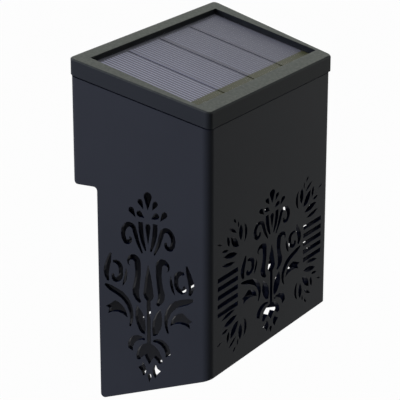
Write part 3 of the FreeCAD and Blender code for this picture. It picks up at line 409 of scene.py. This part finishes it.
def level_box(name):
    """Lowest and highest corner of a node, measured square to the lid."""
    to_level = slope.inverted()
    points = [to_level @ v.co for v in nodes[name].data.vertices]
    low = Vector([min(p[i] for p in points) for i in range(3)])
    high = Vector([max(p[i] for p in points) for i in range(3)])
    return low, high


cells_low, cells_high = level_box("panel_cells")
print("cells", in_mm(cells_high - cells_low), "mm")

# %% Light and dark along the lid
ACROSS = Vector((1, 0, 0))
UP_SLOPE = slope @ Vector((0, 1, 0))


def how_far(tree, direction):
    """How far along a direction a point lies."""
    sockets = {0: own_place(tree), 1: direction}
    return add(tree, "ShaderNodeVectorMath", sockets, operation="DOT_PRODUCT")["Value"]


def along(tree, direction, start, stop, first=0.0, last=1.0):
    """A value that runs from first to last between two distances along a direction."""
    return ramp(tree, how_far(tree, direction), start, stop, first, last)


print("up the slope is", [round(v, 3) for v in UP_SLOPE])

# %% Olive front edge
OLIVE = (0.044, 0.046, 0.016)
OLIVE_EDGE = cells_low.y + 3.6 * MM
EDGE_BLUR = 0.3 * MM


def olive_front(tree, colour):
    """Turns a colour to olive along the front edge."""
    return blend(tree, along(tree, UP_SLOPE, OLIVE_EDGE, OLIVE_EDGE + EDGE_BLUR), OLIVE, colour)


print("olive for", round((OLIVE_EDGE - cells_low.y) / MM, 1), "mm")

# %% Silicon with printed fingers
FINGER_PITCH = 1.75 * MM
HALF_PITCH = 0.5
FINGER_SHARE = 0.32
FINGER_CORE = 0.10
CRYSTAL_SCALE = 110.0
DARK_CRYSTAL = (0.088, 0.090, 0.114)
PALE_CRYSTAL = (0.096, 0.098, 0.124)
PRINTED_SILVER = (0.32, 0.325, 0.42)
PANEL_ROUGHNESS = 0.4
PANEL_SHEEN = 0.15


def silicon():
    """Blue-grey cells with fine silver fingers whose painted glint fades to the right, and an olive front
    edge.
    """
    material, tree, output = new_material("solar_silicon")
    count = maths(tree, "MULTIPLY", how_far(tree, ACROSS), 1.0 / FINGER_PITCH)
    finger = ramp(tree, maths(tree, "PINGPONG", count, HALF_PITCH), FINGER_SHARE, FINGER_CORE)
    # Painted glint: the fingers show most on the left and fade out to the right.
    painted_glint = maths(tree, "MULTIPLY", finger, along(tree, ACROSS, cells_low.x, cells_high.x, 1.0, 0.0))
    sockets = {"Vector": own_place(tree), "Scale": CRYSTAL_SCALE}
    mottle = add(tree, "ShaderNodeTexVoronoi", sockets)["Distance"]
    printed = blend(tree, painted_glint, blend(tree, mottle, DARK_CRYSTAL, PALE_CRYSTAL), PRINTED_SILVER)
    principled(tree, output, {
        "Base Color": olive_front(tree, printed), "Roughness": PANEL_ROUGHNESS,
        "Specular IOR Level": PANEL_SHEEN,
    })
    return material


dress("panel_cells", silicon())
print("fingers every", round(FINGER_PITCH / MM, 2), "mm")

# %% [markdown]
# ## The ribbons
# The ribbon of the left cell carries a painted pale lavender shine, and those of the other cells hardly stand
# out from the silicon. One ramp across the left third of the panel paints both, and the olive front edge goes
# over the ribbons too.

# %% Tinned ribbon
DULL_TIN = (0.10, 0.10, 0.125)
# The lavender is a painted shine, strongest on the ribbon of the left cell.
PAINTED_LAVENDER_SHINE = (0.36, 0.37, 0.50)
SOLDER_SCALE = 450.0
SOLDER_RIPPLE = 0.3
third = (cells_high.x - cells_low.x) / 3
tin, tree, output = new_material("tinned_ribbon")
# Painted shine: lavender at the left edge, dull tin from a third of the way across.
painted_shine = along(tree, ACROSS, cells_low.x, cells_low.x + third, 1.0, 0.0)
ribbon_colour = olive_front(tree, blend(tree, painted_shine, DULL_TIN, PAINTED_LAVENDER_SHINE))
principled(tree, output, {
    "Base Color": ribbon_colour, "Roughness": PANEL_ROUGHNESS, "Specular IOR Level": PANEL_SHEEN,
    "Normal": bump(tree, noise(tree, SOLDER_SCALE), SOLDER_RIPPLE),
})
dress("panel_ribbons", tin)
print("ribbon", tin.name)

# %% [markdown]
# ## The board under the cells
# The laminate is olive where it shows along the front, and greyer at the sides and the rear, where a painted
# reflection of the sky lies on it. A fine weave, drawn by a wave texture, lies under its varnish.

# %% Board with a weave
DARK_THREAD = (0.040, 0.043, 0.015)
PALE_THREAD = (0.048, 0.050, 0.020)
PAINTED_SKY_REFLECTION = (0.060, 0.061, 0.074)
WEAVE_SCALE = 500.0
GREY_BLUR = 3 * MM
laminate, tree, output = new_material("panel_board")
sockets = {"Vector": own_place(tree), "Scale": WEAVE_SCALE, "Distortion": 2.0}
weave = add(tree, "ShaderNodeTexWave", sockets)["Fac"]
threads = blend(tree, weave, DARK_THREAD, PALE_THREAD)
# Painted reflection: sky grey from a little behind the olive front edge to the rear.
rearward = along(tree, UP_SLOPE, OLIVE_EDGE, OLIVE_EDGE + GREY_BLUR)
principled(tree, output, {
    "Base Color": blend(tree, rearward, threads, PAINTED_SKY_REFLECTION), "Roughness": 0.5,
    "Specular IOR Level": PANEL_SHEEN,
})
dress("panel_board", laminate)
print("board", laminate.name)

# %% [markdown]
# ## Metals, boards, foam and wire
# The other parts sit inside or below, and each has one plain finish with a little life in it: plated metal
# with uneven gloss, a lacquered board, foam with open pores, coloured wire. A short function with one noise
# for the colour, the gloss and the bump makes them.

# %% A plain finish with some life
GLOSS_SPREAD = 0.12
COAT_ROUGHNESS = 0.1


def finish(name, colour, second, scale, roughness, metallic=0.0, depth=0.2, coat=0.0):
    """A finish that drifts between two colours, with a bump at the same scale."""
    material, tree, output = new_material(name)
    cloud = noise(tree, scale, detail=4.0)
    principled(tree, output, {
        "Base Color": blend(tree, cloud, colour, second),
        "Roughness": ramp(tree, cloud, 0.0, 1.0, roughness - GLOSS_SPREAD, roughness + GLOSS_SPREAD),
        "Metallic": metallic, "Coat Weight": coat, "Coat Roughness": COAT_ROUGHNESS,
        "Normal": bump(tree, cloud, depth),
    })
    return material


# %% Dress the other parts
board_green = finish("control_board", (0.012, 0.10, 0.035), (0.02, 0.16, 0.05), 900, roughness=0.3, coat=0.6)
foam_grey = finish("foam", (0.02, 0.02, 0.02), (0.06, 0.06, 0.06), 2500, roughness=0.9, depth=1.0)
zinc = finish(
    "screw_steel", (0.50, 0.51, 0.52), (0.66, 0.66, 0.65), 1500, roughness=0.32, metallic=1.0, depth=0.1,
)
nickel = finish(
    "contact_steel", (0.62, 0.60, 0.56), (0.74, 0.72, 0.68), 1200, roughness=0.22, metallic=1.0, depth=0.1,
)
chip_black = finish(
    "chip_black", (0.012, 0.012, 0.012), (0.025, 0.025, 0.025), 3000, roughness=0.6, depth=0.4,
)
coil_green = finish("coil_green", (0.10, 0.30, 0.14), (0.16, 0.40, 0.20), 1200, roughness=0.25, coat=0.6)
wire_red = finish("wire_red", (0.42, 0.015, 0.012), (0.55, 0.03, 0.02), 800, roughness=0.4)
wire_black = finish("wire_black", (0.012, 0.012, 0.012), (0.02, 0.02, 0.02), 800, roughness=0.4)
inner_parts = (
    (board_green, ("control_board",)),
    (foam_grey, ("panel_bed", "tray_seal")),
    (nickel, ("battery_plus_contact", "battery_minus_contact", "lamp_legs", "switch_case")),
    (chip_black, ("charge_chip",)),
    (coil_green, ("inductor",)),
    (wire_red, ("panel_wire_red", "battery_wire_red")),
    (wire_black, ("panel_wire_black", "battery_wire_black")),
)
for material, names in inner_parts:
    for name in names:
        dress(name, material)
print(len(inner_parts), "finishes on", sum(len(names) for _, names in inner_parts), "parts")

# %% [markdown]
# ## Building new pieces
# A bmesh holds a mesh while it is shaped with operators, and is turned into an object at the end. Every
# piece stays at the origin with its place in its points, as the imported nodes do. This helper ends each
# piece: it merges doubled points, makes the faces point outwards, lets the piece ride on its body and hides
# the imported solid that it stands for.

# %% Finish a new piece
WELD = 0.0001 * MM
HAIR = 0.001 * MM
SHARP = math.radians(35)


def piece(name, shape, body, material, stands_for, smooth=True):
    """Turns a bmesh into an object that rides on a body and stands for nodes."""
    bmesh.ops.remove_doubles(shape, verts=shape.verts, dist=WELD)
    bmesh.ops.recalc_face_normals(shape, faces=shape.faces)
    data = bpy.data.meshes.new(name)
    shape.to_mesh(data)
    shape.free()
    if smooth:
        data.shade_smooth()
        data.set_sharp_from_angle(angle=SHARP)
    data.materials.append(material)
    made = bpy.data.objects.new(name, data)
    scene.collection.objects.link(made)
    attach(made, body)
    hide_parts(*stands_for)
    print(name, len(data.polygons), "faces")


# %% [markdown]
# ## The cast resin
# The cells lie under a clear coat that was poured into the tray of the panel, so it fills its window with a
# slightly softened rim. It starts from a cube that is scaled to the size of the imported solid, and its upper
# edges are bevelled. Its lower face stays a hair above the ribbons, because two faces in the same place
# would fight in the render. It is shown as a thin veil rather than as solid glass, because light has to
# reach the cells through it.

# %% Shape the resin
VEIL_GAP = 0.06 * MM
RIM_SOFTNESS = 0.35 * MM
resin_low, resin_high = level_box("panel_resin")
ribbon_top = level_box("panel_ribbons")[1].z
veil_low = Vector((resin_low.x, resin_low.y, ribbon_top + VEIL_GAP))
resin_mesh = bmesh.new()
bmesh.ops.create_cube(resin_mesh, size=1.0)
bmesh.ops.scale(resin_mesh, verts=resin_mesh.verts, vec=resin_high - veil_low)
bmesh.ops.translate(resin_mesh, verts=resin_mesh.verts, vec=(veil_low + resin_high) / 2)
rim = [e for e in resin_mesh.edges if all(v.co.z > resin_high.z - HAIR for v in e.verts)]
bmesh.ops.bevel(
    resin_mesh, geom=rim, offset=RIM_SOFTNESS, segments=3, profile=0.5, affect="EDGES", material=-1,
    offset_type="OFFSET",
)
bmesh.ops.transform(resin_mesh, matrix=slope.to_4x4(), verts=resin_mesh.verts)
print("resin", in_mm(resin_high - veil_low), "mm")

# %% Pour the resin
VEIL_TINT = (0.30, 0.30, 0.38)
THIN_VEIL = 0.005
THICK_VEIL = 0.02
HAZE_SCALE = 40.0
clear_resin, tree, output = new_material("panel_resin")
cover = ramp(tree, noise(tree, HAZE_SCALE, detail=5.0), 0.0, 1.0, THIN_VEIL, THICK_VEIL)
principled(tree, output, {"Base Color": VEIL_TINT, "Roughness": 0.35, "Alpha": cover})
piece("resin_coat", resin_mesh, "base", clear_resin, ["panel_resin"], smooth=False)

# %% [markdown]
# ## The lamp
# A 5 mm lamp is an epoxy body with a round tip and a flange. The body is turned from half a profile with the
# spin operator, as on a lathe, and merged where the last step meets the first. Its epoxy is a little cloudy,
# so that it shows as a pale, half clear dome.


# %% Turn a profile
def turned(profile, centre, steps):
    """A closed round shape from (radius, height) points, about an upright axis."""
    shape = bmesh.new()
    verts = [shape.verts.new((centre[0] + r, centre[1], centre[2] + z)) for r, z in profile]
    edges = [shape.edges.new(pair) for pair in zip(verts, verts[1:])]
    bmesh.ops.spin(
        shape, geom=verts + edges, cent=centre, axis=(0, 0, 1), angle=math.tau, steps=steps, use_merge=True,
        use_duplicate=False,
    )
    bmesh.ops.remove_doubles(shape, verts=shape.verts, dist=WELD)
    return shape


# %% Shape the lamp
DOME_R = 2.5 * MM
FLANGE_HEIGHT = 1.0 * MM
DOME_STEPS = 6
lamp_low, lamp_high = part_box("lamp")
lamp_centre = (lamp_low + lamp_high) / 2
flange_r = (lamp_high.x - lamp_low.x) / 2
flange_z = lamp_high.z - FLANGE_HEIGHT
profile = [(0, lamp_high.z), (flange_r, lamp_high.z), (flange_r, flange_z), (DOME_R, flange_z)]
for step in range(DOME_STEPS + 1):
    angle = math.pi / 2 * step / DOME_STEPS
    profile.append((DOME_R * math.cos(angle), lamp_low.z + DOME_R * (1 - math.sin(angle))))
lens = turned(profile, (lamp_centre.x, lamp_centre.y, 0), steps=32)
print("lamp", in_mm(lamp_high - lamp_low), "mm")

# %% Cast the lamp
EPOXY_TINT = (0.82, 0.80, 0.62)
CLEAREST = 0.45
CLOUDIEST = 0.6
CLOUD_SCALE = 600.0
epoxy, tree, output = new_material("lamp_lens")
cover = ramp(tree, noise(tree, CLOUD_SCALE), 0.0, 1.0, CLEAREST, CLOUDIEST)
principled(tree, output, {"Base Color": EPOXY_TINT, "Roughness": 0.12, "Alpha": cover})
piece("lamp_lens", lens, "base", epoxy, ["lamp"])

# %% [markdown]
# ## The screws
# A pan-head screw has a cross recess in its head and a thread on its shank. The shank and the head are
# turned from one profile, whose thread is a row of ridges. The head is left open in the middle, where a
# cross of twelve corners is bridged to the rim and pushed down to make the recess. All screws come from one
# function, and their places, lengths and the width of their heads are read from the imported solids.

# %% Outlines of a screw
HEAD_SHARES = ((0.6, 1.0), (0.85, 0.93), (1.0, 0.6), (1.0, 0.0))
PITCH_SHARE = 0.7
ROOT_SHARE = 0.8
TIP_SHARE = 0.7
RECESS_REACH = 0.5
RECESS_HALF = 0.14


def screw_profile(head_r, head, shank_r, length):
    """Half the outline of a screw, from the open top of its head to its tip."""
    pitch = shank_r * PITCH_SHARE
    profile = [(head_r * wide, head * high) for wide, high in HEAD_SHARES] + [(shank_r, 0)]
    depth = pitch
    while depth < length - 2 * pitch:
        profile += [(shank_r * ROOT_SHARE, -depth), (shank_r, -depth - pitch / 2)]
        depth += pitch
    return profile + [(shank_r * TIP_SHARE, -depth), (0, -length)]


def cross_outline(reach, half):
    """The twelve corners of a plus sign, anticlockwise."""
    quarter = [(reach, -half), (reach, half), (half, half)]
    corners = []
    for turn in range(4):
        for x, y in quarter:
            for _ in range(turn):
                x, y = -y, x
            corners.append((x, y))
    return corners


print("a recess has", len(cross_outline(RECESS_REACH, RECESS_HALF)), "corners")

# %% Make a screw
RECESS_DEPTH = 0.6
RECESS_TAPER = 0.7
UP = 1
DOWN = -1


def cross_screw(shape, seat, head_r, head, shank_r, length, facing):
    """Adds a screw whose head sits on seat and whose recess faces UP or DOWN."""
    made = turned(screw_profile(head_r, head, shank_r, length), (0, 0, 0), steps=36)
    rim_edges = [e for e in made.edges if e.is_boundary]
    outline = cross_outline(head_r * RECESS_REACH, head_r * RECESS_HALF)
    cross = [made.verts.new((x, y, head)) for x, y in outline]
    cross_edges = [made.edges.new(pair) for pair in zip(cross, cross[1:] + cross[:1])]
    cut = bmesh.ops.subdivide_edges(made, edges=cross_edges, cuts=2)
    cross_edges = list(dict.fromkeys(g for g in cut["geom"] if isinstance(g, bmesh.types.BMEdge)))
    bmesh.ops.bridge_loops(made, edges=rim_edges + cross_edges)
    walls = bmesh.ops.extrude_edge_only(made, edges=cross_edges)
    foot = [g for g in walls["geom"] if isinstance(g, bmesh.types.BMVert)]
    bmesh.ops.translate(made, verts=foot, vec=(0, 0, -head * RECESS_DEPTH))
    bmesh.ops.scale(made, verts=foot, vec=(RECESS_TAPER, RECESS_TAPER, 1))
    foot_edges = [g for g in walls["geom"] if isinstance(g, bmesh.types.BMEdge)]
    bmesh.ops.contextual_create(made, geom=foot_edges)
    turn = Matrix.Identity(4) if facing == UP else Matrix.Rotation(math.pi, 4, "X")
    bmesh.ops.transform(made, matrix=Matrix.Translation(seat) @ turn, verts=made.verts)
    data = bpy.data.meshes.new("one_screw")
    made.to_mesh(data)
    made.free()
    shape.from_mesh(data)
    bpy.data.meshes.remove(data)


# %% Find the heads
HEAD_GAP = 8 * MM


def heads_of(name, facing):
    """Where the heads of a node's screws end: their middles in plan, their radius and their outer level."""
    data = nodes[name].data
    level = max(v.co.z * facing for v in data.vertices) * facing
    outer = [v.co for v in data.vertices if abs(v.co.z - level) < HAIR]
    spots = []
    for point in outer:
        if all((spot - point.xy).length > HEAD_GAP for spot in spots):
            near = [p for p in outer if (p.xy - point.xy).length < HEAD_GAP]
            low = Vector((min(p.x for p in near), min(p.y for p in near)))
            high = Vector((max(p.x for p in near), max(p.y for p in near)))
            spots.append((low + high) / 2)
            radius = (high.x - low.x) / 2
    return spots, radius, level


print("case screws", len(heads_of("case_screws", DOWN)[0]), "heads")


# %% Replace the plain screws
def dress_screws(name, body, head, shank_r, facing):
    """Replaces a node's plain screws by detailed ones of the same size."""
    low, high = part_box(name)
    spots, head_r, level = heads_of(name, facing)
    length = high.z - low.z - head
    shape = bmesh.new()
    for spot in spots:
        seat = Vector((spot.x, spot.y, level - head * facing))
        cross_screw(shape, seat, head_r, head, shank_r, length, facing)
    print(name, len(spots), "screws with heads of", round(2 * head_r / MM, 2), "mm")
    piece(name + "_detailed", shape, body, zinc, [name])


dress_screws("case_screws", "base", head=1.8 * MM, shank_r=1.5 * MM, facing=DOWN)
dress_screws("battery_door_screws", "door_screws", head=1.0 * MM, shank_r=0.95 * MM, facing=DOWN)
dress_screws("board_screws", "base", head=1.0 * MM, shank_r=1.0 * MM, facing=UP)

# %% [markdown]
# ## The battery
# The cell has a sleeve in two colours with rounded shoulders, and a steel button at one end. It is turned
# upright and then laid down along the bay. The change of colour is a step along its length.

# %% Turn the battery
BUTTON_HEIGHT = 1.0 * MM
BUTTON_R = 2.7 * MM
BUTTON_EDGE = 0.2 * MM
SHOULDER_INSET = 0.4 * MM
END_INSET = 1.2 * MM
FOOT_ROUNDING = (0.25 * MM, 0.9 * MM)
TOP_ROUNDING = (0.3 * MM, 1.0 * MM)
can_low, can_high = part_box("battery_cell")
can_centre = (can_low + can_high) / 2
can_r = (can_high.z - can_low.z) / 2
can_half = (can_high.x - can_low.x) / 2
shoulder_r = can_r - SHOULDER_INSET
end_r = can_r - END_INSET
base = -can_half
top = can_half - BUTTON_HEIGHT
profile = [
    (0, base), (end_r, base), (shoulder_r, base + FOOT_ROUNDING[0]), (can_r, base + FOOT_ROUNDING[1]),
    (can_r, top - TOP_ROUNDING[1]), (shoulder_r, top - TOP_ROUNDING[0]), (end_r, top), (BUTTON_R, top),
    (BUTTON_R, can_half - BUTTON_EDGE), (BUTTON_R - BUTTON_EDGE, can_half), (0, can_half),
]
can = turned(profile, (0, 0, 0), steps=48)
laid = Matrix.Translation(can_centre) @ Matrix.Rotation(math.pi / 2, 4, "Y")
bmesh.ops.transform(can, matrix=laid, verts=can.verts)
print("battery", in_mm(can_high - can_low), "mm")

# %% Wrap the battery
GREEN_SLEEVE = (0.03, 0.22, 0.08)
PALE_SLEEVE = (0.60, 0.60, 0.56)
COLOUR_EDGE = 8.0 * MM
COLOUR_BLUR = 0.2 * MM
METAL_BLUR = 0.1 * MM
pale_from = can_centre.x + COLOUR_EDGE
metal_from = can_high.x - BUTTON_HEIGHT
sleeve, tree, output = new_material("battery_sleeve")
pale_part = along(tree, ACROSS, pale_from, pale_from + COLOUR_BLUR)
principled(tree, output, {
    "Base Color": blend(tree, pale_part, GREEN_SLEEVE, PALE_SLEEVE), "Roughness": 0.3,
    "Metallic": along(tree, ACROSS, metal_from - METAL_BLUR, metal_from),
})
piece("battery_sleeve", can, "battery", sleeve, ["battery_cell"])
